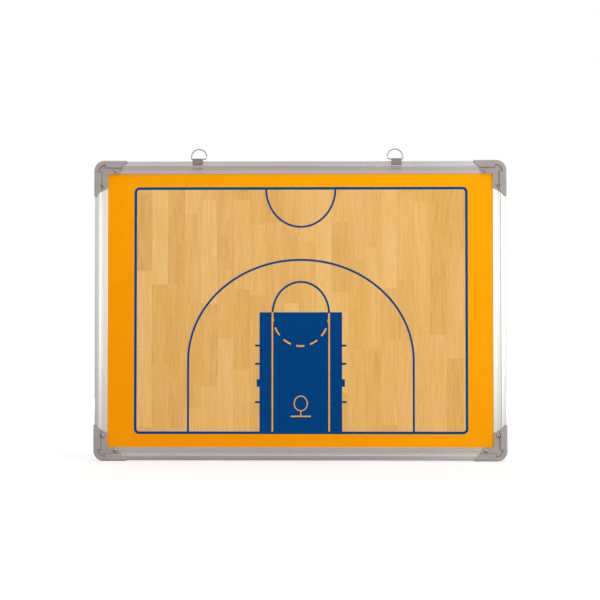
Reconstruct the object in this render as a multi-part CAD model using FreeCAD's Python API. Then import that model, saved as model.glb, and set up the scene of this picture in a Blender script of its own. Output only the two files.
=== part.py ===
import FreeCAD, Part
import math
import os

# Framed tactics board: a printed magnetic panel in an aluminium frame, with plastic corner caps and two
# hanging rings on clips. Millimetres. X runs to the right, Y from front to back and Z up. The origin is on the
# floor line under the lower caps, midway across the width and the depth.

# Overall size, over the corner caps
BOARD_WIDTH = 600.0
BOARD_HEIGHT = 437.0

# Panel layers, front to back
FILM_THICKNESS = 0.2
FACE_SHEET_THICKNESS = 0.4
CORE_THICKNESS = 7.0
BACK_SHEET_THICKNESS = 0.4
PANEL_PLAY = 0.1
PANEL_EDGE_GAP = 0.5

# Rail extrusion: u is counted inwards from the outer edge
RAIL_FACE = 18.8
RAIL_WALL = 1.3
LIP_THICKNESS = 0.85
LIP_RADIUS = 0.5
LIP_COVER = 2.6
BEAD_WIDTH = 7.5
BEAD_STEP = 2.0
BEAD_FALL = 1.3
BEAD_OUTER_RADIUS = 2.5
BEAD_INNER_RADIUS = 0.7
COVE_RADIUS = 1.0
FLANGE_FALL = 0.55
SCREW_CHAMBER_WIDTH = 4.6
FINE_LINE_FROM_LIP = 5.8
FINE_LINE_WIDTH = 0.7
FINE_LINE_DEPTH = 0.35

# Corner caps
CAP_PROUD = 1.2
CAP_CLEARANCE = 0.1
CAP_LEG_ACROSS = 48.0
CAP_LEG_UP = 53.0
CAP_CORNER_RADIUS = 15.0
CAP_EDGE_RADIUS = 2.8
RIM_INNER_WALL = 1.9
RIM_INNER_EDGE_RADIUS = 0.8
RIM_END_ANGLE = 45.0
FLANGE_END_ANGLE = 27.0
LEG_TIP_RADIUS = 2.0
FLANGE_TIP_RADIUS = 2.5
RIM_END_BEVEL = 0.8
FLANGE_END_BEVEL = 0.5
POCKET_RADIUS = 10.9
POCKET_FROM_RIM = 6.3
FOOT_GROOVE_WIDTH = 0.9
FOOT_GROOVE_DEPTH = 0.5
RAIL_END_GAP = 0.6

# Corner screws
SCREW_FROM_LEG_TIP = 16.6
SCREW_U_ACROSS = 14.0
SCREW_U_UP = 11.9
SCREW_HEAD_RADIUS = 3.0
SCREW_HEAD_HEIGHT = 1.9
SCREW_HEAD_EDGE = 0.7
SCREW_SHANK_RADIUS = 1.45
SCREW_LENGTH = 8.0
SCREW_POINT = 2.0
SCREW_CLEARANCE = 0.05
SCREW_RELIEF = 0.7
CROSS_LENGTH = 3.4
CROSS_WIDTH = 0.8
CROSS_DEPTH = 1.1

# Hanger clips that slide on the top rail
LEFT_CLIP_X = -149.0
RIGHT_CLIP_X = 140.3
CLIP_WIDTH = 15.0
CLIP_THICKNESS = 0.5
CLIP_CLEARANCE = 0.05
CLIP_BEND_RADIUS = 0.6
DETENT_ABOVE_STEP = 0.2
DETENT_REACH = 1.2
DETENT_DROP = 1.3
FLARE_REACH = 0.9
FLARE_DROP = 1.3

# Tabs folded round the rings' bars, welded on the clips
TAB_WIDTH = 14.5
TAB_THICKNESS = 0.5
TAB_DROP = 6.3
TAB_TAIL = 6.0

# D-rings
RING_WIDTH = 24.0
RING_HEIGHT = 16.7
RING_WIRE = 1.8
RING_BEND_RADIUS = 1.6
RING_KNEE = 5.8
RING_KNEE_RADIUS = 4.0
RING_END_RISE = 1.8
RING_SLIP = 2.2
PIVOT_CLEARANCE = 0.1
PIVOT_LIFT = 1.4

# Sizes worked out from the ones above
PANEL_THICKNESS = FILM_THICKNESS + FACE_SHEET_THICKNESS + CORE_THICKNESS + BACK_SHEET_THICKNESS
CHANNEL_HALF = PANEL_THICKNESS / 2 + PANEL_PLAY
LIP_HALF = CHANNEL_HALF + LIP_THICKNESS
FLANGE_HALF = LIP_HALF + FLANGE_FALL
BEAD_HALF = FLANGE_HALF + BEAD_STEP
CHANNEL_FLOOR = RAIL_FACE - LIP_COVER
SCREW_CHAMBER_END = CHANNEL_FLOOR - RAIL_WALL
SCREW_CHAMBER_START = SCREW_CHAMBER_END - SCREW_CHAMBER_WIDTH
FINE_LINE_END = RAIL_FACE - FINE_LINE_FROM_LIP
FINE_LINE_START = FINE_LINE_END - FINE_LINE_WIDTH

HALF_WIDTH = BOARD_WIDTH / 2
HALF_HEIGHT = BOARD_HEIGHT / 2
RAIL_HALF_WIDTH = HALF_WIDTH - CAP_PROUD
RAIL_HALF_HEIGHT = HALF_HEIGHT - CAP_PROUD
RAIL_TOP = BOARD_HEIGHT - CAP_PROUD

CAP_FACE = RAIL_FACE + CAP_PROUD
CAP_HALF_DEPTH = BEAD_HALF + CAP_PROUD
CAP_FLANGE_HALF = FLANGE_HALF + CAP_PROUD
RIM_WIDTH = CAP_PROUD + BEAD_WIDTH + RIM_INNER_WALL
RAIL_END = CAP_FACE + RAIL_END_GAP
POCKET_CENTRE = RIM_WIDTH + POCKET_FROM_RIM
SCREW_ACROSS = CAP_LEG_ACROSS - SCREW_FROM_LEG_TIP
SCREW_UP = CAP_LEG_UP - SCREW_FROM_LEG_TIP
SCREW_TIP = SCREW_LENGTH - CAP_FLANGE_HALF

WIRE_RADIUS = RING_WIRE / 2
HUMP_INNER_RADIUS = WIRE_RADIUS + PIVOT_CLEARANCE
HUMP_RADIUS = HUMP_INNER_RADIUS + TAB_THICKNESS / 2
CLIP_PLATE_Y = BEAD_HALF + CLIP_CLEARANCE + CLIP_THICKNESS / 2
TAB_PLATE_Y = CLIP_PLATE_Y + (CLIP_THICKNESS + TAB_THICKNESS) / 2
PIVOT_Y = HUMP_RADIUS - TAB_PLATE_Y
PIVOT_Z = RAIL_TOP + PIVOT_LIFT + WIRE_RADIUS

MARGIN = 1.0


def vec(x, y, z):
    """A point in the frame of the model."""
    return FreeCAD.Vector(x, y, z)


def box(x, y, z):
    """A block between two corners, given as a low and high value along each axis."""
    return Part.makeBox(x[1] - x[0], y[1] - y[0], z[1] - z[0], vec(x[0], y[0], z[0]))


def rounded_edges(points, radii, closed):
    """Straight runs through the points, with each corner replaced by a tangent arc of its radius."""
    count = len(points)
    edges = []
    marks = []
    for i, (point, radius) in enumerate(zip(points, radii)):
        is_end = not closed and i in (0, count - 1)
        if radius <= 0 or is_end:
            marks.append((point, point))
            continue
        to_last = (points[i - 1] - point).normalize()
        to_next = (points[(i + 1) % count] - point).normalize()
        half = to_last.getAngle(to_next) / 2
        reach = radius / math.tan(half)
        bisector = (to_last + to_next).normalize()
        middle = point + bisector * (radius / math.sin(half) - radius)
        start = point + to_last * reach
        end = point + to_next * reach
        edges.append((i, Part.Arc(start, middle, end).toShape()))
        marks.append((start, end))
    for i in range(count if closed else count - 1):
        start = marks[i][1]
        end = marks[(i + 1) % count][0]
        if (end - start).Length > 1e-6:
            edges.append((i + 0.5, Part.LineSegment(start, end).toShape()))
    edges.sort(key=lambda item: item[0])
    return [edge for _, edge in edges]


def rounded_face(points, radii):
    """A flat face inside the closed outline through the points, with rounded corners."""
    return Part.Face(Part.Wire(rounded_edges(points, radii, True)))


def offset_points(points, distance):
    """The corners of a line in the YZ plane after it is moved sideways, to its left, by a distance."""
    moved = []
    for i, point in enumerate(points):
        sides = []
        if i > 0:
            sides.append((point - points[i - 1]).normalize())
        if i < len(points) - 1:
            sides.append((points[i + 1] - point).normalize())
        normals = [vec(0, -side.z, side.y) for side in sides]
        mean = (normals[0] + normals[-1]).normalize()
        moved.append(point + mean * (distance / mean.dot(normals[0])))
    return moved


def strip_face(points, radii, thickness):
    """The section of a bent strip: a line in the YZ plane with rounded bends, thickened to both sides."""
    outlines = []
    for side in (1, -1):
        side_radii = []
        for i, radius in enumerate(radii):
            if radius <= 0:
                side_radii.append(0)
                continue
            before = points[i] - points[i - 1]
            after = points[i + 1] - points[i]
            left_turn = before.y * after.z - before.z * after.y > 0
            side_radii.append(radius + (-side if left_turn else side) * thickness / 2)
        moved = offset_points(points, side * thickness / 2)
        outlines.append((moved, rounded_edges(moved, side_radii, False)))
    (left, left_edges), (right, right_edges) = outlines
    start_cap = Part.LineSegment(right[0], left[0]).toShape()
    end_cap = Part.LineSegment(left[-1], right[-1]).toShape()
    return Part.Face(Part.Wire(Part.__sortEdges__(left_edges + [end_cap] + right_edges + [start_cap])))


def rail_outline(grow, inner_edge, lip_radius):
    """The rail's outer section in (u, y), grown by a clearance: beads whose faces fall outwards, coves, and
    flanges that fall inwards as far as the fine line and run level from there to the lip."""
    bead = BEAD_HALF + grow
    lip = LIP_HALF + grow
    step_u = BEAD_WIDTH + grow
    half = [
        (-grow, bead - BEAD_FALL, BEAD_OUTER_RADIUS + grow),
        (step_u, bead, BEAD_INNER_RADIUS + grow),
        (step_u, FLANGE_HALF + grow, COVE_RADIUS - grow),
        (FINE_LINE_START, lip, 0),
        (inner_edge, lip, lip_radius),
    ]
    front = [(u, -y, radius) for u, y, radius in half]
    whole = front + half[::-1]
    points = [vec(u, y, 0) for u, y, _ in whole]
    return rounded_face(points, [radius for _, _, radius in whole])


def section_patch(u, y):
    """A rectangle of the rail's section, to be cut out of it."""
    corners = [vec(u[0], y[0], 0), vec(u[1], y[0], 0), vec(u[1], y[1], 0), vec(u[0], y[1], 0)]
    return Part.Face(Part.makePolygon(corners + corners[:1]))


def rail_section():
    """The hollow section: fine lines on both faces, panel channel and three chambers."""
    bead_chamber_end = BEAD_WIDTH - RAIL_WALL
    bead_chamber_half = BEAD_HALF - BEAD_FALL - RAIL_WALL
    flange_chamber_half = LIP_HALF - RAIL_WALL
    flange_chamber = (-flange_chamber_half, flange_chamber_half)
    line_floor = LIP_HALF - FINE_LINE_DEPTH
    cuts = [
        section_patch((CHANNEL_FLOOR, RAIL_FACE + MARGIN), (-CHANNEL_HALF, CHANNEL_HALF)),
        section_patch((RAIL_WALL, bead_chamber_end), (-bead_chamber_half, bead_chamber_half)),
        section_patch((bead_chamber_end, SCREW_CHAMBER_START - RAIL_WALL), flange_chamber),
        section_patch((SCREW_CHAMBER_START, SCREW_CHAMBER_END), flange_chamber),
    ]
    for side in (-1, 1):
        fine_line = sorted((side * line_floor, side * (LIP_HALF + MARGIN)))
        cuts.append(section_patch((FINE_LINE_START, FINE_LINE_END), fine_line))
    section = rail_outline(0, RAIL_FACE, LIP_RADIUS)
    for patch in cuts:
        section = section.cut(patch)
    return section.Faces[0]


# The four sides: the turn about Y that brings a left rail there, and its outer edge and length
SIDES = {
    "left": (0, RAIL_HALF_WIDTH, BOARD_HEIGHT - 2 * RAIL_END),
    "top": (90, RAIL_HALF_HEIGHT, BOARD_WIDTH - 2 * RAIL_END),
    "right": (180, RAIL_HALF_WIDTH, BOARD_HEIGHT - 2 * RAIL_END),
    "bottom": (270, RAIL_HALF_HEIGHT, BOARD_WIDTH - 2 * RAIL_END),
}


def along_side(section, side, extra):
    """A section carried along one side of the frame, longer than its rail by extra at both ends."""
    turn, half_span, length = SIDES[side]
    whole_length = length + 2 * extra
    bar = section.extrude(vec(0, 0, whole_length))
    bar.translate(vec(-half_span, 0, -whole_length / 2))
    bar.rotate(vec(0, 0, 0), vec(0, 1, 0), turn)
    bar.translate(vec(0, 0, HALF_HEIGHT))
    return bar


def corner_point(corner, across, y, up):
    """A point counted inwards from a corner of the board: across from its side and up or down from its end."""
    side_sign, end_sign = corner
    return vec(side_sign * (HALF_WIDTH - across), y, HALF_HEIGHT + end_sign * (HALF_HEIGHT - up))


def corner_prism(corner, outline, y):
    """A prism from front to back over an outline of (across, up, radius) corners."""
    points = [corner_point(corner, across, y[0], up) for across, up, _ in outline]
    face = rounded_face(points, [radius for _, _, radius in outline])
    return face.extrude(vec(0, y[1] - y[0], 0))


def corner_cylinder(corner, radius, centre, y):
    """A cylinder along Y whose centre is counted inwards from a corner of the board."""
    base = corner_point(corner, centre[0], y[0], centre[1])
    return Part.makeCylinder(radius, y[1] - y[0], base, vec(0, 1, 0))


def inward(corner, point):
    """How far a point lies inwards from a corner of the board, across and up or down."""
    side_sign, end_sign = corner
    across = HALF_WIDTH - side_sign * point.x
    up = HALF_HEIGHT - end_sign * (point.z - HALF_HEIGHT)
    return across, up


def face_edges(shape, test):
    """The edges in the shape's front and back planes whose middle passes a test of its place."""
    chosen = []
    for edge in shape.Edges:
        box_y = edge.BoundBox
        is_flat = box_y.YLength < 1e-6 and abs(abs(box_y.YMin) - CAP_HALF_DEPTH) < 1e-6
        if is_flat and test(edge.valueAt((edge.FirstParameter + edge.LastParameter) / 2)):
            chosen.append(edge)
    return chosen


def panel_box(gap, y):
    """A block as large as the panel, grown by a gap at its four edges."""
    inset = CHANNEL_FLOOR + PANEL_EDGE_GAP - gap
    half_x = RAIL_HALF_WIDTH - inset
    half_z = RAIL_HALF_HEIGHT - inset
    return box((-half_x, half_x), y, (HALF_HEIGHT - half_z, HALF_HEIGHT + half_z))


def leg_outline():
    """The cap seen from the front: two legs round the corner, whose rounded tips end at the leg's length."""
    rim_slant = RIM_WIDTH * math.tan(math.radians(RIM_END_ANGLE))
    flange_slant = (CAP_FACE - RIM_WIDTH) * math.tan(math.radians(FLANGE_END_ANGLE))
    half_tip = math.radians(90 - RIM_END_ANGLE) / 2
    tip_past_round = LEG_TIP_RADIUS / math.tan(half_tip) - LEG_TIP_RADIUS
    across = CAP_LEG_ACROSS + tip_past_round
    up = CAP_LEG_UP + tip_past_round
    return [
        (0, 0, CAP_CORNER_RADIUS),
        (across, 0, LEG_TIP_RADIUS),
        (across - rim_slant, RIM_WIDTH, 0),
        (across - rim_slant - flange_slant, CAP_FACE, FLANGE_TIP_RADIUS),
        (CAP_FACE, CAP_FACE, 0),
        (CAP_FACE, up - rim_slant - flange_slant, FLANGE_TIP_RADIUS),
        (RIM_WIDTH, up - rim_slant, 0),
        (0, up, LEG_TIP_RADIUS),
    ]


def end_bevel(corner, start, end, level, size):
    """A wedge that takes a 45 degree bevel off a slanted leg end, at the front or back level given."""
    start_point = corner_point(corner, start[0], level, start[1])
    run = corner_point(corner, end[0], level, end[1]) - start_point
    outwards = vec(0, math.copysign(size, level), 0)
    sideways = run.cross(outwards).normalize() * size
    to_corner = corner_point(corner, 0, level, 0) - start_point
    if sideways.dot(to_corner) < 0:
        sideways = -sideways
    wedge = [
        start_point + sideways * 2 + outwards,
        start_point - sideways - outwards * 2,
        start_point - sideways + outwards,
    ]
    return Part.Face(Part.makePolygon(wedge + wedge[:1])).extrude(run)


def bevelled_ends(cap, corner):
    """The cap with bevels on the rim and the flange at both leg ends, front and back."""
    outline = [(across, up) for across, up, _ in leg_outline()]
    rim_ends = [(outline[1], outline[2]), (outline[7], outline[6])]
    flange_ends = [(outline[2], outline[3]), (outline[6], outline[5])]
    for side in (-1, 1):
        for start, end in rim_ends:
            cap = cap.cut(end_bevel(corner, start, end, side * CAP_HALF_DEPTH, RIM_END_BEVEL))
        for start, end in flange_ends:
            cap = cap.cut(end_bevel(corner, start, end, side * CAP_FLANGE_HALF, FLANGE_END_BEVEL))
    return cap


def corner_square(corner, start, end, y):
    """A square prism between two places that are counted inwards from a corner, the same across and up."""
    return corner_prism(corner, [(start, start, 0), (end, start, 0), (end, end, 0), (start, end, 0)], y)


def pocket(corner, inset, y):
    """The quarter-round pocket in the rim of a corner, drawn in by an inset."""
    disc = corner_cylinder(corner, POCKET_RADIUS - inset, (POCKET_CENTRE, POCKET_CENTRE), y)
    return disc.common(corner_square(corner, 0, POCKET_CENTRE - inset, y))


def flange_floor(corner, inset, y):
    """The ground inside the rim, drawn in by an inset: a square that goes past the legs, and the pocket."""
    square = corner_square(corner, RIM_WIDTH + inset, CAP_LEG_ACROSS + CAP_LEG_UP, y)
    return square.fuse(pocket(corner, inset, y))


def screw_places():
    """The two screws of a corner, counted inwards: one over each rail that meets there."""
    across = (SCREW_ACROSS, CAP_PROUD + SCREW_U_ACROSS)
    up = (CAP_PROUD + SCREW_U_UP, SCREW_UP)
    return {"across": across, "up": up}


def corner_cap(corner, sides):
    """A moulded cap: a rounded shell over both rail ends, with a low flange and a pocket in the corner."""
    long_across = CAP_LEG_ACROSS + CAP_FACE
    long_up = CAP_LEG_UP + CAP_FACE
    depth = (-CAP_HALF_DEPTH, CAP_HALF_DEPTH)
    blank = corner_prism(corner, [
        (0, 0, CAP_CORNER_RADIUS),
        (long_across, 0, 0),
        (long_across, CAP_FACE, 0),
        (CAP_FACE, CAP_FACE, 0),
        (CAP_FACE, long_up, 0),
        (0, long_up, 0),
    ], depth)

    def on_outer_edge(point):
        across, up = inward(corner, point)
        on_leg = min(across, up) < 1e-6
        on_corner = max(across, up) < CAP_CORNER_RADIUS
        return on_leg or on_corner

    blank = blank.makeFillet(CAP_EDGE_RADIUS, face_edges(blank, on_outer_edge))

    levels = [
        (-CAP_HALF_DEPTH - MARGIN, -CAP_FLANGE_HALF),
        (CAP_FLANGE_HALF, CAP_HALF_DEPTH + MARGIN),
    ]
    for level in levels:
        blank = blank.cut(corner_prism(corner, [
            (RIM_WIDTH, RIM_WIDTH, 0),
            (long_across + MARGIN, RIM_WIDTH, 0),
            (long_across + MARGIN, long_up + MARGIN, 0),
            (RIM_WIDTH, long_up + MARGIN, 0),
        ], level))

    def on_rim_edge(point):
        return abs(min(inward(corner, point)) - RIM_WIDTH) < 1e-6

    blank = blank.makeFillet(RIM_INNER_EDGE_RADIUS, face_edges(blank, on_rim_edge))

    for level in levels:
        blank = blank.cut(pocket(corner, 0, level))
    for side in (-1, 1):
        level = sorted((side * CAP_FLANGE_HALF, side * (CAP_FLANGE_HALF - FOOT_GROOVE_DEPTH)))
        low_floor = flange_floor(corner, 0, level)
        blank = blank.cut(low_floor.cut(flange_floor(corner, FOOT_GROOVE_WIDTH, level)))
    cap = bevelled_ends(blank.common(corner_prism(corner, leg_outline(), depth)), corner)

    cavity = rail_outline(CAP_CLEARANCE, CAP_FACE + MARGIN, 0)
    for side in sides:
        cap = cap.cut(along_side(cavity, side, CAP_CLEARANCE))
    cap = cap.cut(panel_box(CAP_CLEARANCE, (-CHANNEL_HALF, CHANNEL_HALF)))
    for place in screw_places().values():
        cap = cap.cut(corner_cylinder(corner, SCREW_HEAD_RADIUS + SCREW_RELIEF, place, levels[0]))
        hole = (-CAP_HALF_DEPTH, 0)
        cap = cap.cut(corner_cylinder(corner, SCREW_SHANK_RADIUS + SCREW_CLEARANCE, place, hole))
    return cap


def corner_screw(corner, place):
    """A pan-head screw along Y: domed head on the cap's flange, cross recess, pointed shank."""
    head_back = -CAP_FLANGE_HALF
    head_front = head_back - SCREW_HEAD_HEIGHT
    head_rim = head_back - SCREW_HEAD_EDGE
    point_start = SCREW_TIP - SCREW_POINT
    dome_middle = vec(SCREW_HEAD_RADIUS * math.cos(math.pi / 4),
                      head_rim - (SCREW_HEAD_HEIGHT - SCREW_HEAD_EDGE) * math.sin(math.pi / 4), 0)
    outline = [
        Part.LineSegment(vec(0, head_front, 0), vec(0, SCREW_TIP, 0)),
        Part.LineSegment(vec(0, SCREW_TIP, 0), vec(SCREW_SHANK_RADIUS, point_start, 0)),
        Part.LineSegment(vec(SCREW_SHANK_RADIUS, point_start, 0), vec(SCREW_SHANK_RADIUS, head_back, 0)),
        Part.LineSegment(vec(SCREW_SHANK_RADIUS, head_back, 0), vec(SCREW_HEAD_RADIUS, head_back, 0)),
        Part.LineSegment(vec(SCREW_HEAD_RADIUS, head_back, 0), vec(SCREW_HEAD_RADIUS, head_rim, 0)),
        Part.Arc(vec(SCREW_HEAD_RADIUS, head_rim, 0), dome_middle, vec(0, head_front, 0)),
    ]
    half = Part.Face(Part.Wire([edge.toShape() for edge in outline]))
    screw = half.revolve(vec(0, 0, 0), vec(0, 1, 0), 360)
    slot = (head_front - MARGIN, head_front + CROSS_DEPTH)
    long_side = (-CROSS_LENGTH / 2, CROSS_LENGTH / 2)
    short_side = (-CROSS_WIDTH / 2, CROSS_WIDTH / 2)
    screw = screw.cut(box(long_side, slot, short_side)).cut(box(short_side, slot, long_side))
    screw.translate(corner_point(corner, place[0], 0, place[1]))
    return screw


def rail(side):
    """One rail with the pilot holes of the screws that hold it in its two caps."""
    bar = along_side(rail_section(), side, 0)
    place_name = "across" if side in ("top", "bottom") else "up"
    for corner, sides in CORNERS.values():
        if side in sides:
            place = screw_places()[place_name]
            depth = (-BEAD_HALF, SCREW_TIP)
            bar = bar.cut(corner_cylinder(corner, SCREW_SHANK_RADIUS + SCREW_CLEARANCE, place, depth))
    return bar


def bent_strip(x, width, path, thickness):
    """A strip of sheet across X, bent along a path of (y, z, radius) corners."""
    points = [vec(x - width / 2, y, z) for y, z, _ in path]
    section = strip_face(points, [radius for _, _, radius in path], thickness)
    return section.extrude(vec(width, 0, 0))


def hanger_clip(x):
    """A spring saddle over the top rail, with a detent under the bead in front and behind."""
    plate_end = RAIL_TOP - BEAD_WIDTH + DETENT_ABOVE_STEP - CLIP_THICKNESS / 2
    detent_y = CLIP_PLATE_Y - DETENT_REACH
    detent_z = plate_end - DETENT_DROP
    top_z = RAIL_TOP + CLIP_CLEARANCE + CLIP_THICKNESS / 2
    shoulder = BEAD_OUTER_RADIUS + CLIP_CLEARANCE + CLIP_THICKNESS / 2
    half = [
        (detent_y + FLARE_REACH, detent_z - FLARE_DROP, 0),
        (detent_y, detent_z, CLIP_BEND_RADIUS),
        (CLIP_PLATE_Y, plate_end, CLIP_BEND_RADIUS),
        (CLIP_PLATE_Y, top_z, shoulder),
    ]
    front = [(-y, z, radius) for y, z, radius in half]
    return bent_strip(x, CLIP_WIDTH, front + half[::-1], CLIP_THICKNESS)


def ring_tab(x):
    """A tab on the front of a clip, folded back over the ring's bar and along the clip's top."""
    hump_top = PIVOT_Z + HUMP_RADIUS
    hump_back = PIVOT_Y + HUMP_RADIUS
    tail_z = RAIL_TOP + CLIP_CLEARANCE + CLIP_THICKNESS + TAB_THICKNESS / 2
    path = [
        (-TAB_PLATE_Y, RAIL_TOP - TAB_DROP, 0),
        (-TAB_PLATE_Y, hump_top, HUMP_RADIUS),
        (hump_back, hump_top, HUMP_RADIUS),
        (hump_back, tail_z, CLIP_BEND_RADIUS),
        (hump_back + TAB_TAIL, tail_z, 0),
    ]
    return bent_strip(x, TAB_WIDTH, path, TAB_THICKNESS)


def ring_point(x, z):
    """A point of a ring's wire, counted from the middle of its bar."""
    return vec(x, PIVOT_Y, PIVOT_Z + z)


def hanging_ring(clip_x, joint_side):
    """A D-ring of wire: a bar whose free end springs up, a leg, and a half round that stops over that end."""
    half = RING_WIDTH / 2 - WIRE_RADIUS
    arc_z = RING_HEIGHT - RING_WIRE - half
    near = joint_side * half
    far = -near
    free_end = ring_point(near, RING_END_RISE)
    knee = ring_point(joint_side * RING_KNEE, 0)
    leg_top = ring_point(far, arc_z)
    corners = [free_end, knee, ring_point(far, 0), leg_top]
    bar_and_leg = rounded_edges(corners, [0, RING_KNEE_RADIUS, RING_BEND_RADIUS, 0], False)
    half_round = Part.Arc(leg_top, ring_point(0, arc_z + half), ring_point(near, arc_z)).toShape()
    path = Part.Wire(bar_and_leg + [half_round])
    circle = Part.Wire(Part.Circle(free_end, knee - free_end, WIRE_RADIUS).toShape())
    ring = path.makePipeShell([circle], True, True)
    ring.translate(vec(clip_x + joint_side * RING_SLIP, 0, 0))
    return ring


# The four corners: the signs of their side and end, and the two rails that meet there
CORNERS = {
    "top_left": ((-1, 1), ("top", "left")),
    "top_right": ((1, 1), ("top", "right")),
    "bottom_left": ((-1, -1), ("bottom", "left")),
    "bottom_right": ((1, -1), ("bottom", "right")),
}


def panel_layers():
    """The panel's layers from the printed film at the front to the back sheet."""
    layers = {
        "court_print_film": FILM_THICKNESS,
        "steel_face_sheet": FACE_SHEET_THICKNESS,
        "core_board": CORE_THICKNESS,
        "back_sheet": BACK_SHEET_THICKNESS,
    }
    nodes = {}
    front = -PANEL_THICKNESS / 2
    for name, thickness in layers.items():
        nodes[name] = panel_box(0, (front, front + thickness))
        front += thickness
    return nodes


def all_nodes():
    """Every piece of the board under its name."""
    nodes = panel_layers()
    for side in SIDES:
        nodes[side + "_rail"] = rail(side)
    for name, (corner, sides) in CORNERS.items():
        nodes["corner_cap_" + name] = corner_cap(corner, sides)
        for place_name, place in screw_places().items():
            rail_name = sides[0] if place_name == "across" else sides[1]
            nodes[f"screw_{name}_{rail_name}_rail"] = corner_screw(corner, place)
    for side, clip_x, joint_side in (("left", LEFT_CLIP_X, 1), ("right", RIGHT_CLIP_X, -1)):
        nodes[side + "_hanger_clip"] = hanger_clip(clip_x)
        nodes[side + "_ring_tab"] = ring_tab(clip_x)
        nodes[side + "_hanging_ring"] = hanging_ring(clip_x, joint_side)
    return nodes


os.makedirs("parts", exist_ok=True)
for node_name, shape in all_nodes().items():
    shape.exportStep(f"parts/{node_name}.step")
    print(f"{node_name}: {len(shape.Solids)} solid, valid {shape.isValid()}, {shape.Volume:.1f} mm3")
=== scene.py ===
import math

import bpy
import numpy as np
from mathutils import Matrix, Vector


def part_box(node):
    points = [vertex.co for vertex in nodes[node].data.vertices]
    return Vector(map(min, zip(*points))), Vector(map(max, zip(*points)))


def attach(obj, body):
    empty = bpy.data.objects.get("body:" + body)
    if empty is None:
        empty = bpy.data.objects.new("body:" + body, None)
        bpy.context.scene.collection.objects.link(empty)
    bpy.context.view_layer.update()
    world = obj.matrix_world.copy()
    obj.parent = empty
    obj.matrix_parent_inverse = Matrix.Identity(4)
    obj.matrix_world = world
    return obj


# A framed tactics board with a printed half court. Metres; X to the right, Y from front to back, Z up.

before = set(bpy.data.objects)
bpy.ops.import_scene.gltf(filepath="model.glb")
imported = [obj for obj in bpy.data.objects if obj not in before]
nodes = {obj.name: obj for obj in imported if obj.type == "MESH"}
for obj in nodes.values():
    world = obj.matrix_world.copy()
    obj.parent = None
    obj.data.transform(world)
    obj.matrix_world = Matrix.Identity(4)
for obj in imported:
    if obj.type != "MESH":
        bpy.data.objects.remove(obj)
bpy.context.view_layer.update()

MM = 0.001

# The court as printed, in millimetres: heights are counted from the middle of the base line
COURT_X = 1.2
BASE_LINE_Z = 40.75
COURT_HALF_WIDTH = 240.7
COURT_HEIGHT = 355.4
BORDER_RADIUS = 5.6
BORDER_LINE = 4.0
CENTRE_ARC = (50.5, 56.1)
CENTRE_ARC_LINE = 3.0
GOAL_ARC = (163.8, 146.3)
GOAL_ARC_HEIGHT = 104.8
GOAL_ARC_LINE = 3.15
KEY_WIDTH = 120.0
KEY_HEIGHT = 174.9
LANE_X = 41.25
LANE_LINE = 2.1
LANE_TOP = 172.8
THROW_CIRCLE = (41.1, 46.6)
THROW_CIRCLE_HEIGHT = 172.4
THROW_LINE = 3.1
DASH_LINE = 2.2
DASH_COUNT = 7
DASH_PITCH = 28.0
DASH_MIDDLE = -91.0
DASH_HALF_ANGLE = 8.2
TICK_HEIGHTS = (44.5, 100.1, 126.5)
TICK_LENGTH = 6.4
TICK_LINE = 3.1
BLOCK_MIDDLE = 72.2
BLOCK_HEIGHT = 11.0
BLOCK_LENGTH = 4.1
HOOP_HEIGHT = 42.6
HOOP = (9.55, 10.6)
HOOP_LINE = 1.3
BACKBOARD_HEIGHT = 23.9
BACKBOARD_WIDTH = 29.4
BACKBOARD_LINE = 1.85

# Ink stands on the film by a few hundredths; marks that cross have their own level
INK_LEVEL = 0.02
INK_STEP = 0.006

# Planks of the printed floor
PLANK_WIDTH = 23.8
PLANK_START = -215.4
PLANK_LENGTH = 128.0

# Colours of the print, in sRGB from 0 to 255, and two tints that multiply the planks' colour
# The two oranges are the shaded and the lit ends of painted light across the surround
ORANGE_LOW = (244, 150, 4)
ORANGE_HIGH = (248, 164, 3)
PLANK_DARK = (206, 156, 80)
PLANK_MID = (227, 177, 102)
PLANK_LIGHT = (238, 193, 126)
PLANK_STREAK = (190, 142, 68)
PLANK_SEAM = (150, 104, 48)
PLANK_ROSY = (1.0, 0.97, 1.06, 1)
PLANK_YELLOW = (0.985, 1.0, 0.93, 1)
KEY_BLUE = (2, 65, 127)
LINE_BLUE = (2, 74, 132)
MARK_YELLOW = (252, 172, 4)
PRINT_SPECULAR = 0.015

# Colours of the frame, in sRGB from 0 to 255: a dark and a light tone where two are given
# The rails across and the upright rails are one aluminium in two colours: painted light makes the uprights
# lighter
RAIL_ACROSS = ((162, 156, 153), (192, 186, 183))
RAIL_UPRIGHT_PAINTED_LIGHTER = ((172, 170, 167), (197, 195, 192))
SPRING_STEEL = ((161, 152, 146), (191, 181, 175))
TAB_STEEL = ((112, 100, 94), (137, 124, 117))
# The next colour is painted shade at a tab's foot
STEEL_FOOT_SHADE = (84, 72, 66)
PLASTIC = ((150, 141, 138), (166, 157, 154))
# The next colour is painted shade in the groove along a cap's rim
PLASTIC_GROOVE_SHADE = (70, 63, 60)
PLASTIC_RUBBED = (196, 190, 187)
BACK_COAT = ((186, 187, 186), (202, 203, 202))
BACK_SCUFF = (150, 150, 150)
PAPER = ((150, 118, 80), (176, 142, 100))
PAPER_EDGE = (196, 165, 122)

# Plated and cut metal, in linear light, and two tints that multiply a rail's colour: painted shade on its
# outer side, and painted light in the cove beside its bead
SHEARED_STEEL = (0.5, 0.47, 0.45, 1)
WIRE_BRIGHT = (0.29, 0.27, 0.26, 1)
WIRE_TARNISH = (0.215, 0.2, 0.19, 1)
SCREW_FACE = (0.34, 0.332, 0.328, 1)
# The next colour is painted shade in a screw's cross recess
SCREW_RECESS_SHADE = (0.04, 0.037, 0.036, 1)
ZINC = ((0.5, 0.51, 0.52, 1), (0.68, 0.69, 0.7, 1))
RAIL_OUTER_PAINTED_SHADE = (0.88, 0.905, 0.925, 1)
RAIL_COVE_PAINTED_LIGHT = (1.4, 1.4, 1.4, 1)
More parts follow.
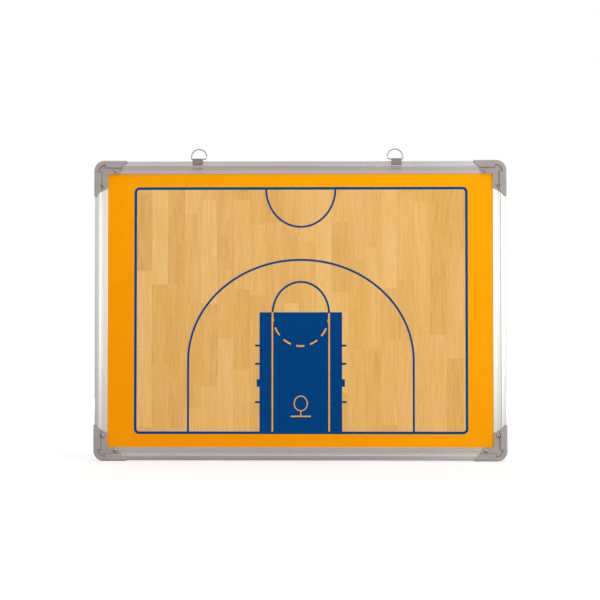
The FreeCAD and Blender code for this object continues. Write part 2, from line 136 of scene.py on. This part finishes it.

# Where painted shade and painted light begin and end on the frame, in millimetres: places along Y, heights
# at a tab's foot, and distances inwards from a rail's outer side
CAP_GROOVE_DEPTHS = (6.65, 6.3)
SCREW_RECESS_DEPTHS = (-7.9, -7.5)
TAB_FRONT_DEPTHS = (-5.0, -6.0)
TAB_FOOT_HEIGHTS = (432.4, 430.6)
RAIL_OUTER_SHADE_REACH = (6.0, 3.0)
RAIL_COVE_START = (6.2, 7.0)
RAIL_COVE_END = (9.2, 8.2)


def linear(srgb):
    """An sRGB colour from 0 to 255 as the linear RGBA that shaders take."""
    c = np.asarray(srgb, float) / 255
    rgb = np.where(c <= 0.04045, c / 12.92, ((c + 0.055) / 1.055) ** 2.4)
    return (*rgb.tolist(), 1.0)


class Value:
    """An output of a node; arithmetic on it adds Math nodes to the same finish."""

    def __init__(self, finish, socket):
        self.finish = finish
        self.socket = socket

    def math(self, operation, *others, first=None):
        operands = (self, *others) if first is None else (first, self)
        return self.finish.node("ShaderNodeMath", {"operation": operation}, dict(enumerate(operands)))

    def __add__(self, other):
        return self.math("ADD", other)

    def __sub__(self, other):
        return self.math("SUBTRACT", other)

    def __rsub__(self, other):
        return self.math("SUBTRACT", first=other)

    def __mul__(self, other):
        return self.math("MULTIPLY", other)

    def __truediv__(self, other):
        return self.math("DIVIDE", other)

    def __lt__(self, other):
        return self.math("LESS_THAN", other)

    def __gt__(self, other):
        return self.math("GREATER_THAN", other)

    def __abs__(self):
        return self.math("ABSOLUTE")

    def floor(self):
        return self.math("FLOOR")

    def least(self, other):
        return self.math("MINIMUM", other)

    def most(self, other):
        return self.math("MAXIMUM", other)

    def ramp(self, low, high):
        """0 up to low and 1 from high on, smooth between them; high may be the lesser."""
        settings = {"interpolation_type": "SMOOTHSTEP"}
        return self.finish.node("ShaderNodeMapRange", settings, {0: self, 1: low, 2: high, 3: 0.0, 4: 1.0})


class Finish:
    """A node tree in the making: one method adds any node, sets it and joins its sockets."""

    def __init__(self, tree):
        self.tree = tree
        tree.nodes.clear()

    def node(self, kind, settings=None, inputs=None, output=0):
        made = self.tree.nodes.new(kind)
        for key, value in (settings or {}).items():
            if key == "stops":
                ramp = made.color_ramp
                while len(ramp.elements) < len(value):
                    ramp.elements.new(1.0)
                for element, (place, colour) in zip(ramp.elements, value):
                    element.position = place
                    element.color = colour
            else:
                setattr(made, key, value)
        for key, value in (inputs or {}).items():
            if isinstance(value, Value):
                self.tree.links.new(value.socket, made.inputs[key])
            else:
                made.inputs[key].default_value = value
        return Value(self, made.outputs[output]) if made.outputs else made

    def place(self):
        """Object coordinates in millimetres: x, y and z."""
        point = self.node("ShaderNodeTexCoord", output="Object")
        return [self.node("ShaderNodeSeparateXYZ", None, {0: point}, axis) / MM for axis in "XYZ"]

    def facing(self):
        """The surface's own direction in object space: x, y and z."""
        normal = self.node("ShaderNodeTexCoord", output="Normal")
        return [self.node("ShaderNodeSeparateXYZ", None, {0: normal}, axis) for axis in "XYZ"]

    def point(self, x, y, z=0.0):
        return self.node("ShaderNodeCombineXYZ", None, {0: x, 1: y, 2: z})

    def noise(self, point, detail=2.0, roughness=0.5):
        inputs = {"Vector": point, "Scale": 1.0, "Detail": detail, "Roughness": roughness}
        return self.node("ShaderNodeTexNoise", None, inputs, "Fac")

    def chance(self, point):
        """One random number for each whole-numbered point; its third number tells one draw from another."""
        return self.node("ShaderNodeTexWhiteNoise", {"noise_dimensions": "3D"}, {"Vector": point}, "Value")

    def mix(self, share, first, second, blend="MIX"):
        settings = {"data_type": "RGBA", "blend_type": blend}
        return self.node("ShaderNodeMix", settings, {0: share, 6: first, 7: second}, 2)

    def colours(self, value, *stops):
        return self.node("ShaderNodeValToRGB", {"stops": stops}, {0: value})

    def bump(self, height, distance, strength):
        inputs = {"Height": height, "Distance": distance * MM, "Strength": strength}
        return self.node("ShaderNodeBump", None, inputs)


def material(name, build):
    """A material whose nodes build makes: build returns the values of the Principled shader's sockets."""
    made = bpy.data.materials.new(name)
    made.use_nodes = True
    finish = Finish(made.node_tree)
    shader = finish.node("ShaderNodeBsdfPrincipled", None, build(finish))
    finish.node("ShaderNodeOutputMaterial", None, {"Surface": shader})
    return made


def dress(name, finish):
    """Gives a carried-over piece its finish."""
    nodes[name].data.materials.clear()
    nodes[name].data.materials.append(finish)


# The printed film

def printed_gloss(finish, x, z):
    """Roughness of the writing face: satin, with faint wiped smears."""
    smear = finish.noise(finish.point(x * 0.012, z * 0.03), 4.0, 0.6)
    return smear * 0.16 + 0.26


def plank_floor(finish, x, z):
    """Printed planks: columns of one width, cut to lengths by chance, each with its own tone and grain."""
    across = (x - PLANK_START) / PLANK_WIDTH
    column = across.floor()
    along = z / PLANK_LENGTH + finish.chance(finish.point(column, 3.0)) * 9.0
    row = along.floor()
    joint = finish.chance(finish.point(column, row, 7.0)) * 0.55
    into = along - row
    length = row - (into < joint)
    tone = finish.chance(finish.point(column, length))
    figure = finish.noise(finish.point(x * 0.09 + tone * 40.0, z * 0.012, tone * 90.0), 2.0, 0.5)
    grain = finish.noise(finish.point(x * 0.5 + figure * 3.5, z * 0.024, tone * 70.0), 4.0, 0.65)
    pores = finish.noise(finish.point(x * 1.1, z * 0.06, tone * 50.0), 2.0, 0.7)
    wood = tone * 0.31 + grain * 0.74 + pores * 0.3 + figure * 0.36 - 0.175
    tones = zip((0.32, 0.66, 1.0), (linear(PLANK_DARK), linear(PLANK_MID), linear(PLANK_LIGHT)))
    plain = finish.colours(wood, *tones)
    streak = finish.noise(finish.point(x * 0.7, z * 0.009, tone * 30.0), 2.0, 0.5).ramp(0.62, 0.78)
    own_warmth = finish.chance(finish.point(column, length, 5.0))
    drift = finish.noise(finish.point(x * 0.006, z * 0.006))
    tint = finish.mix(own_warmth * 0.5 + drift * 0.5, PLANK_ROSY, PLANK_YELLOW)
    tinted = finish.mix(1.0, plain, tint, "MULTIPLY")
    colour = finish.mix(streak * 0.4, tinted, linear(PLANK_STREAK))
    edge = across - column
    side_seam = (edge.least(1.0 - edge) * PLANK_WIDTH).ramp(0.45, 0.1)
    end_seam = (abs(into - joint) * PLANK_LENGTH).ramp(0.45, 0.1)
    seam = side_seam.most(end_seam) * tone * 0.22
    return finish.mix(seam, colour, linear(PLANK_SEAM))


def court_print(finish):
    """Orange surround and plank floor, parted under the border line by a rounded rectangle."""
    x, _, z = finish.place()
    middle_z = BASE_LINE_Z + COURT_HEIGHT / 2
    past_x = (abs(x - COURT_X) - (COURT_HALF_WIDTH - BORDER_RADIUS)).most(0.0)
    past_z = (abs(z - middle_z) - (COURT_HEIGHT / 2 - BORDER_RADIUS)).most(0.0)
    outside = (past_x * past_x + past_z * past_z) > BORDER_RADIUS ** 2
    mottle = finish.noise(finish.point(x * 0.05, z * 0.05), 3.0, 0.6)
    # Painted light: the orange is lighter towards the right and the top, as if lit from above right; the
    # mottle in it is the print's own tone
    drift = x * 0.0009 + (z - middle_z) * 0.0012 + mottle * 0.5
    orange = finish.colours(drift, (0.0, linear(ORANGE_LOW)), (0.6, linear(ORANGE_HIGH)))
    return {
        "Base Color": finish.mix(outside, plank_floor(finish, x, z), orange),
        "Roughness": printed_gloss(finish, x, z),
        "Specular IOR Level": PRINT_SPECULAR,
    }


def ink(srgb):
    """Even printed ink with a faint cloud in its tone and the film's own gloss."""
    def build(finish):
        x, _, z = finish.place()
        cloud = finish.noise(finish.point(x * 0.08, z * 0.08), 3.0, 0.6)
        dark = tuple(0.95 * c for c in srgb)
        return {
            "Base Color": finish.colours(cloud, (0.3, linear(dark)), (0.7, linear(srgb))),
            "Roughness": printed_gloss(finish, x, z),
            "Specular IOR Level": PRINT_SPECULAR,
        }
    return build


# Metals and plastic of the frame

def drawn_aluminium(along, dark, light):
    """Anodised extrusion: fine die lines along the rail, which spread its gloss across them, an outer side
    darkened with painted shade, and a cove lightened with painted light, most where it faces down."""
    first, last, axis = ("bottom_rail", "top_rail", 2) if along == "x" else ("left_rail", "right_rail", 0)
    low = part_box(first)[0][axis] / MM
    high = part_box(last)[1][axis] / MM

    def build(finish):
        x, y, z = finish.place()
        run, cross = (x, z) if along == "x" else (z, x)
        lines = finish.noise(finish.point(run * 0.0005, cross * 3.2, y * 3.2), 4.0, 0.7)
        broad = finish.noise(finish.point(run * 0.0005, cross * 0.5, y * 0.5), 2.0, 0.5)
        cloud = finish.noise(finish.point(run * 0.01, cross * 0.1, y * 0.1), 2.0, 0.5)
        tone = lines * 0.5 + broad * 0.45 + cloud * 0.2
        plain = finish.colours(tone, (0.3, linear(dark)), (0.85, linear(light)))
        inwards = (cross - low).least(high - cross)
        # Painted shade: the rail is darkened along its outer side, fully within 3 mm of its outer edge
        wear_and_painted_shade = finish.mix(inwards.ramp(*RAIL_OUTER_SHADE_REACH), plain, RAIL_OUTER_PAINTED_SHADE, "MULTIPLY")
        # Painted light: the cove beside the bead is lightened, most where it faces down and not where it
        # faces up
        _, _, facing_up = finish.facing()
        facing_down_light = facing_up.ramp(0.45, -0.85)
        cove_painted_light = inwards.ramp(*RAIL_COVE_START) * inwards.ramp(*RAIL_COVE_END) * facing_down_light
        return {
            "Base Color": finish.mix(cove_painted_light, wear_and_painted_shade, RAIL_COVE_PAINTED_LIGHT, "MULTIPLY"),
            "Metallic": 1.0,
            "Roughness": lines * 0.14 + cloud * 0.04 + 0.36,
            "Anisotropic": 0.9,
            "Anisotropic Rotation": 0.25 if along == "x" else 0.0,
            "Normal": finish.bump(lines, 0.0025, 1.0),
        }
    return build


def moulded_plastic(finish):
    """Warm grey moulding: fine sparked grain, rubbed outer edges and painted shade in the groove along its
    rim.
    """
    x, y, z = finish.place()
    _, facing_y, _ = finish.facing()
    grain = finish.noise(finish.point(x * 2.6, y * 2.6, z * 2.6), 3.0, 0.65)
    cloud = finish.noise(finish.point(x * 0.07, y * 0.07, z * 0.07), 3.0, 0.6)
    flatness = abs(facing_y)
    rounded = flatness.ramp(0.98, 0.8) * flatness.ramp(0.15, 0.35)
    wear_and_painted_shade = rounded * finish.noise(finish.point(x * 0.35, y * 0.35, z * 0.35), 4.0, 0.7).ramp(0.42, 0.7)
    tone = grain * 0.25 + cloud * 0.6
    dark, light = PLASTIC
    plain = finish.colours(tone, (0.25, linear(dark)), (0.65, linear(light)))
    # Painted shade: the groove along the rim is darkened, in cloudy patches
    groove_painted_shade = abs(y).ramp(*CAP_GROOVE_DEPTHS) * flatness.ramp(0.7, 0.95)
    body = finish.mix(groove_painted_shade * cloud * 0.75, plain, linear(PLASTIC_GROOVE_SHADE))
    return {
        "Base Color": finish.mix(wear_and_painted_shade * 0.35, body, linear(PLASTIC_RUBBED)),
        "Roughness": 0.62 - wear_and_painted_shade * 0.18 - cloud * 0.1,
        "Specular IOR Level": 0.4,
        "Normal": finish.bump(grain, 0.03, 0.35),
    }


def rolled_steel(dark, light, foot_shade_share=0.0):
    """Strip steel: rolling lines down the strip between two tones, bright sheared edges, and painted shade
    at a tab's foot."""
    def build(finish):
        x, y, z = finish.place()
        facing_x, _, _ = finish.facing()
        lines = finish.noise(finish.point(x * 3.0, y * 0.15, z * 0.15), 3.0, 0.7)
        cloud = finish.noise(finish.point(x * 0.4, y * 0.4, z * 0.4), 3.0, 0.6)
        tone = lines * 0.5 + cloud * 0.5
        face = finish.colours(tone, (0.3, linear(dark)), (0.75, linear(light)))
        # Painted shade: a tab's front is darkened towards its lower edge
        foot_painted_shade = z.ramp(*TAB_FOOT_HEIGHTS) * y.ramp(*TAB_FRONT_DEPTHS)
        foot_shaded = finish.mix(foot_painted_shade * foot_shade_share, face, linear(STEEL_FOOT_SHADE))
        sheared = abs(facing_x).ramp(0.7, 0.95)
        return {
            "Base Color": finish.mix(sheared, foot_shaded, SHEARED_STEEL),
            "Metallic": 1.0,
            "Roughness": lines * 0.15 + cloud * 0.1 + 0.46,
            "Normal": finish.bump(lines, 0.01, 0.3),
        }
    return build


def bright_wire(finish):
    """Nickel-plated wire: dulled, with fine drawing marks and a little tarnish."""
    x, y, z = finish.place()
    marks = finish.noise(finish.point(x * 1.8, y * 1.8, z * 1.8), 4.0, 0.7)
    tarnish = finish.noise(finish.point(x * 0.25, y * 0.25, z * 0.25), 3.0, 0.6).ramp(0.5, 0.75)
    return {
        "Base Color": finish.mix(tarnish * 0.4, WIRE_BRIGHT, WIRE_TARNISH),
        "Metallic": 1.0,
        "Roughness": marks * 0.1 + tarnish * 0.1 + 0.34,
        "Normal": finish.bump(marks, 0.01, 0.2),
    }


def zinc_screw(finish):
    """Plated screw with turning marks round its face and painted shade in its cross recess."""
    x, y, z = finish.place()
    marks = finish.noise(finish.point(x * 2.0, y * 6.0, z * 2.0), 3.0, 0.7)
    # Painted shade: the cross recess is darkened below the screw's face
    recess_shade = y.ramp(*SCREW_RECESS_DEPTHS)
    return {
        "Base Color": finish.mix(recess_shade, SCREW_FACE, SCREW_RECESS_SHADE),
        "Metallic": 1.0,
        "Roughness": marks * 0.2 + 0.22,
        "Normal": finish.bump(marks, 0.01, 0.25),
    }


# Layers of the panel behind the film

def galvanised(finish):
    """Zinc-coated sheet: crystals of slightly different grey."""
    x, _, z = finish.place()
    inputs = {"Vector": finish.point(x * 0.12, z * 0.12), "Scale": 1.0}
    cells = finish.node("ShaderNodeTexVoronoi", None, inputs, "Color")
    crystal = finish.node("ShaderNodeSeparateXYZ", None, {0: cells}, "X")
    fine = finish.noise(finish.point(x * 0.6, z * 0.6), 3.0, 0.6)
    dark, light = ZINC
    return {
        "Base Color": finish.colours(crystal * 0.6 + fine * 0.4, (0.2, dark), (0.9, light)),
        "Metallic": 0.85,
        "Roughness": crystal * 0.18 + 0.36,
    }


def painted_back(finish):
    """Pale grey coat of a rolled sheet: fine upright lines from the roller, a faint orange peel, a slow
    drift of tone and handling marks."""
    x, _, z = finish.place()
    peel = finish.noise(finish.point(x * 0.7, z * 0.7), 2.0, 0.5)
    rolled = finish.noise(finish.point(x * 0.35, z * 0.0025), 4.0, 0.7)
    drift = finish.noise(finish.point(x * 0.006, z * 0.002), 2.0, 0.5)
    scuff = finish.noise(finish.point(x * 0.02, z * 0.25), 4.0, 0.7).ramp(0.62, 0.8)
    dark, light = BACK_COAT
    tone = peel * 0.2 + rolled * 0.55 + drift * 0.25
    coat = finish.colours(tone, (0.3, linear(dark)), (0.7, linear(light)))
    return {
        "Base Color": finish.mix(scuff * 0.3, coat, linear(BACK_SCUFF)),
        "Roughness": 0.5 - scuff * 0.15,
        "Normal": finish.bump(peel, 0.05, 0.15),
    }


def paper_core(finish):
    """Brown honeycomb paper: pale cell edges on a darker ground."""
    x, _, z = finish.place()
    settings = {"feature": "DISTANCE_TO_EDGE"}
    inputs = {"Vector": finish.point(x * 0.1, z * 0.1), "Scale": 1.0, "Randomness": 0.25}
    wall = finish.node("ShaderNodeTexVoronoi", settings, inputs).ramp(0.12, 0.04)
    fibre = finish.noise(finish.point(x * 0.9, z * 0.9), 4.0, 0.7)
    dark, light = PAPER
    ground = finish.colours(fibre, (0.3, linear(dark)), (0.7, linear(light)))
    return {"Base Color": finish.mix(wall, ground, linear(PAPER_EDGE)), "Roughness": 0.85 - wall * 0.1}


# Court lines as thin layers of ink

def straight(start, end):
    """Two points, as a path."""
    return np.array([start, end], float)


def ellipse(centre, radii, start, end, steps=72):
    """Points at even angles on an ellipse: centre plus radii times cosine and sine; degrees from +X."""
    angle = np.radians(np.linspace(start, end, steps + 1))
    return np.array(centre) + np.array(radii) * np.stack([np.cos(angle), np.sin(angle)], 1)


def rounded_rectangle(half_width, height, radius, steps=10):
    """A closed path round a rectangle that stands on zero: four quarter circles, joined by straight runs."""
    reach = half_width - radius
    low, high = radius, height - radius
    centres = ((reach, high), (-reach, high), (-reach, low), (reach, low))
    turns = (0, 90, 180, 270)
    corners = [
        ellipse(centre, (radius, radius), turn, turn + 90, steps) for centre, turn in zip(centres, turns)
    ]
    return np.concatenate(corners)


def ribbon(path, width, level=0, closed=False):
    """A flat line of ink: the path moved half a width to both sides, square to the mean of the two runs that
    meet at a point, and given a back on the film and a front at its level. Returns points and quads."""
    run = np.roll(path, -1, 0) - path
    run = run / np.maximum(np.linalg.norm(run, axis=1, keepdims=True), 1e-9)
    before = np.roll(run, 1, 0)
    if not closed:
        run[-1] = before[-1]
        before[0] = run[0]
    tangent = run + before
    tangent /= np.linalg.norm(tangent, axis=1, keepdims=True)
    normal = np.stack([-tangent[:, 1], tangent[:, 0]], 1) * width / 2
    thickness = INK_LEVEL + level * INK_STEP
    corners = ((1, 0.0), (-1, 0.0), (-1, -thickness), (1, -thickness))
    rings = []
    for side, depth in corners:
        flat = path + side * normal
        rings.append(np.stack([flat[:, 0], np.full(len(path), depth), flat[:, 1]], 1))
    points = np.stack(rings, 1).reshape(-1, 3)
    count = len(path)
    here = np.arange(count if closed else count - 1)[:, None]
    there = (here + 1) % count
    side = np.arange(4)[None, :]
    after = (side + 1) % 4
    corner_numbers = [4 * here + side, 4 * here + after, 4 * there + after, 4 * there + side]
    quads = np.stack(corner_numbers, 2).reshape(-1, 4)
    if not closed:
        last = 4 * (count - 1)
        quads = np.concatenate([quads, [[3, 2, 1, 0], [last, last + 1, last + 2, last + 3]]])
    return points, quads


def ink_piece(name, ribbons, finish):
    """One piece of print: its ribbons placed on the film's front, in metres, with faces turned outwards."""
    film_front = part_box("court_print_film")[0].y
    origin = np.array([COURT_X * MM, film_front, BASE_LINE_Z * MM])
    points, quads = [], []
    start = 0
    for some_points, some_quads in ribbons:
        corner = some_points[some_quads]
        swept = np.einsum("ij,ij->i", corner[:, 0], np.cross(corner[:, 1], corner[:, 2]))
        swept += np.einsum("ij,ij->i", corner[:, 0], np.cross(corner[:, 2], corner[:, 3]))
        turned = some_quads if swept.sum() > 0 else some_quads[:, ::-1]
        points.append(some_points * MM + origin)
        quads.append(turned + start)
        start += len(some_points)
    mesh = bpy.data.meshes.new(name)
    mesh.from_pydata(np.concatenate(points), [], np.concatenate(quads).tolist())
    mesh.materials.append(finish)
    piece = bpy.data.objects.new(name, mesh)
    bpy.context.scene.collection.objects.link(piece)
    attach(piece, "board")


def court_lines():
    """Every printed mark: blue lines and key, and the marks in yellow on the key."""
    blue = material("line_blue_ink", ink(LINE_BLUE))
    key_blue = material("key_blue_ink", ink(KEY_BLUE))
    yellow = material("mark_yellow_ink", ink(MARK_YELLOW))
    border = rounded_rectangle(COURT_HALF_WIDTH, COURT_HEIGHT, BORDER_RADIUS)
    ink_piece("court_border_print", [ribbon(border, BORDER_LINE, 2, closed=True)], blue)

    centre = ellipse((0, COURT_HEIGHT), CENTRE_ARC, 180, 360)
    ink_piece("centre_arc_print", [ribbon(centre, CENTRE_ARC_LINE, 1)], blue)

    half_width, _ = GOAL_ARC
    goal_arc = ellipse((0, GOAL_ARC_HEIGHT), GOAL_ARC, 180, 0, 120)
    goal_line = np.concatenate([[(-half_width, 0)], goal_arc, [(half_width, 0)]])
    ink_piece("goal_arc_print", [ribbon(goal_line, GOAL_ARC_LINE, 1)], blue)

    key = [ribbon(straight((0, 0), (0, KEY_HEIGHT)), KEY_WIDTH)]
    for side in (-1, 1):
        edge = side * KEY_WIDTH / 2
        for height in TICK_HEIGHTS:
            key.append(ribbon(straight((edge, height), (edge + side * TICK_LENGTH, height)), TICK_LINE))
        block = straight((edge, BLOCK_MIDDLE), (edge + side * BLOCK_LENGTH, BLOCK_MIDDLE))
        key.append(ribbon(block, BLOCK_HEIGHT))
    ink_piece("key_print", key, key_blue)

    throw_centre = (0, THROW_CIRCLE_HEIGHT)
    upper = ellipse(throw_centre, THROW_CIRCLE, 180, 0)
    ink_piece("throw_arc_print", [ribbon(upper, THROW_LINE, 1)], blue)

    lanes = [ribbon(straight((x, 0), (x, LANE_TOP)), LANE_LINE, 1) for x in (-LANE_X, LANE_X)]
    ink_piece("lane_lines_print", lanes, yellow)

    middles = DASH_MIDDLE + DASH_PITCH * (np.arange(DASH_COUNT) - (DASH_COUNT - 1) / 2)
    spans = [(middle - DASH_HALF_ANGLE, middle + DASH_HALF_ANGLE) for middle in middles]
    dashes = [ribbon(ellipse(throw_centre, THROW_CIRCLE, *span, 12), DASH_LINE, 2) for span in spans]
    ink_piece("throw_dashes_print", dashes, yellow)

    hoop = ellipse((0, HOOP_HEIGHT), HOOP, 0, 360)[:-1]
    half_board = BACKBOARD_WIDTH / 2
    board = straight((-half_board, BACKBOARD_HEIGHT), (half_board, BACKBOARD_HEIGHT))
    stem = straight((0, BACKBOARD_HEIGHT), (0, HOOP_HEIGHT - HOOP[1]))
    basket = [
        ribbon(hoop, HOOP_LINE, 2, closed=True),
        ribbon(board, BACKBOARD_LINE, 2),
        ribbon(stem, HOOP_LINE, 1),
    ]
    ink_piece("basket_print", basket, yellow)


def dress_frame():
    """Finishes of the carried-over pieces."""
    plastic = material("moulded_grey_plastic", moulded_plastic)
    screw = material("zinc_screw", zinc_screw)
    spring = material("spring_strip_steel", rolled_steel(*SPRING_STEEL))
    tab = material("dark_tab_steel", rolled_steel(*TAB_STEEL, foot_shade_share=0.5))
    wire = material("bright_wire", bright_wire)
    # Same aluminium for both: the uprights' colours carry painted light
    across = material("aluminium_lines_across", drawn_aluminium("x", *RAIL_ACROSS))
    upright = material("aluminium_lines_upright", drawn_aluminium("z", *RAIL_UPRIGHT_PAINTED_LIGHTER))
    finishes = {
        "court_print_film": material("court_print", court_print),
        "steel_face_sheet": material("galvanised_sheet", galvanised),
        "core_board": material("paper_core", paper_core),
        "back_sheet": material("painted_back", painted_back),
        "top_rail": across,
        "bottom_rail": across,
        "left_rail": upright,
        "right_rail": upright,
    }
    by_kind = {
        "corner_cap": plastic,
        "screw": screw,
        "hanger_clip": spring,
        "ring_tab": tab,
        "hanging_ring": wire,
    }
    for name in nodes:
        of_its_kind = [finish for word, finish in by_kind.items() if word in name]
        dress(name, finishes[name] if name in finishes else of_its_kind[0])


# Studio: the floor's glow is given near the board and far from it, and fades over distances in millimetres

FLOOR_SIZE = 12.0
FLOOR_TONE = 0.55
FLOOR_GLOW = (0.47, 0.74)
FLOOR_GLOW_FADE = (600.0, 2100.0)
FLOOR_MIRROR_LOSS = 0.5
FILL_LIGHT = 0.485

# Each softbox: its place, its width and height, and its power in watts
SOFTBOXES = {
    "left_softbox": ((-1.3, -1.85, 1.05), (0.6, 1.3), 6.0),
    "right_softbox": ((1.1, -2.0, 0.3), (0.6, 0.8), 21.0),
    "top_softbox": ((0.4, -0.6, 2.1), (3.2, 1.6), 22.0),
    "side_softbox": ((2.2, -0.15, 0.3), (0.8, 1.6), 12.0),
    "back_softbox": ((-0.5, 2.2, 0.9), (3.2, 2.2), 36.0),
}
LIGHT_AIM = Vector((0.0, 0.0, 0.22))

CAMERA_AIM = Vector((0.0, 0.0, 0.2336))
CAMERA_DISTANCE = 2.2
CAMERA_AZIMUTH = 1.08
CAMERA_ELEVATION = -1.59
CAMERA_LENS = 90.64
SENSOR_WIDTH = 36.0


def seen_directly(finish):
    """1 for rays that show the backdrop: from the camera, in a reflection or through glass."""
    rays = [finish.node("ShaderNodeLightPath", None, None, f"Is {kind} Ray")
            for kind in ("Camera", "Glossy", "Transmission")]
    return rays[0].most(rays[1]).most(rays[2])


def white_room():
    """A white world for the eye and for reflections, and a plain fill for everything it lights."""
    world = bpy.data.worlds.new("white_room")
    world.use_nodes = True
    finish = Finish(world.node_tree)
    strength = finish.node("ShaderNodeMapRange", None, {0: seen_directly(finish), 3: FILL_LIGHT, 4: 1.0})
    sky = finish.node("ShaderNodeBackground", None, {"Color": (1, 1, 1, 1), "Strength": strength})
    finish.node("ShaderNodeOutputWorld", None, {"Surface": sky})
    bpy.context.scene.world = world


def pale_floor():
    """A white floor that keeps shadows: a diffuse part that they darken, and a glow for the eye alone,
    stronger away from the board, where less light falls, and weaker near it in reflections."""
    half = FLOOR_SIZE / 2
    corners = [(-half, -half, 0), (half, -half, 0), (half, half, 0), (-half, half, 0)]
    mesh = bpy.data.meshes.new("floor")
    mesh.from_pydata(corners, [], [(0, 1, 2, 3)])
    made = bpy.data.materials.new("pale_floor")
    made.use_nodes = True
    finish = Finish(made.node_tree)
    matt = finish.node("ShaderNodeBsdfDiffuse", None, {"Color": (FLOOR_TONE, FLOOR_TONE, FLOOR_TONE, 1)})
    x, y, _ = finish.place()
    near, far = FLOOR_GLOW
    fade = (x * x + y * y).ramp(*(distance ** 2 for distance in FLOOR_GLOW_FADE))
    mirrored = finish.node("ShaderNodeLightPath", None, None, "Is Glossy Ray")
    near_share = (1.0 - fade) * (1.0 - mirrored * FLOOR_MIRROR_LOSS)
    strength = seen_directly(finish) * (fade * far + near_share * near)
    glow = finish.node("ShaderNodeEmission", None, {"Strength": strength})
    both = finish.node("ShaderNodeAddShader", None, {0: matt, 1: glow})
    finish.node("ShaderNodeOutputMaterial", None, {"Surface": both})
    mesh.materials.append(made)
    floor = bpy.data.objects.new("floor", mesh)
    bpy.context.scene.collection.objects.link(floor)


def softboxes():
    """Large soft lamps to both sides, above and behind, aimed at the middle of the board."""
    for name, (place, size, power) in SOFTBOXES.items():
        lamp = bpy.data.lights.new(name, "AREA")
        lamp.shape = "RECTANGLE"
        lamp.size, lamp.size_y = size
        lamp.energy = power
        holder = bpy.data.objects.new(name, lamp)
        holder.location = place
        holder.rotation_euler = (LIGHT_AIM - Vector(place)).to_track_quat("-Z", "Y").to_euler()
        bpy.context.scene.collection.objects.link(holder)


def camera():
    """The photograph's view: almost square on, from a little below and to the right of the middle."""
    lens = bpy.data.cameras.new("camera")
    lens.sensor_width = SENSOR_WIDTH
    lens.lens = CAMERA_LENS
    azimuth, elevation = math.radians(CAMERA_AZIMUTH), math.radians(CAMERA_ELEVATION)
    back = Vector((
        math.sin(azimuth) * math.cos(elevation),
        -math.cos(azimuth) * math.cos(elevation),
        math.sin(elevation),
    ))
    eye = bpy.data.objects.new("camera", lens)
    eye.location = CAMERA_AIM + back * CAMERA_DISTANCE
    eye.rotation_euler = (-back).to_track_quat("-Z", "Y").to_euler()
    bpy.context.scene.collection.objects.link(eye)
    bpy.context.scene.camera = eye


camera()
white_room()
pale_floor()
softboxes()
dress_frame()
court_lines()
bpy.context.scene.view_settings.view_transform = "Standard"
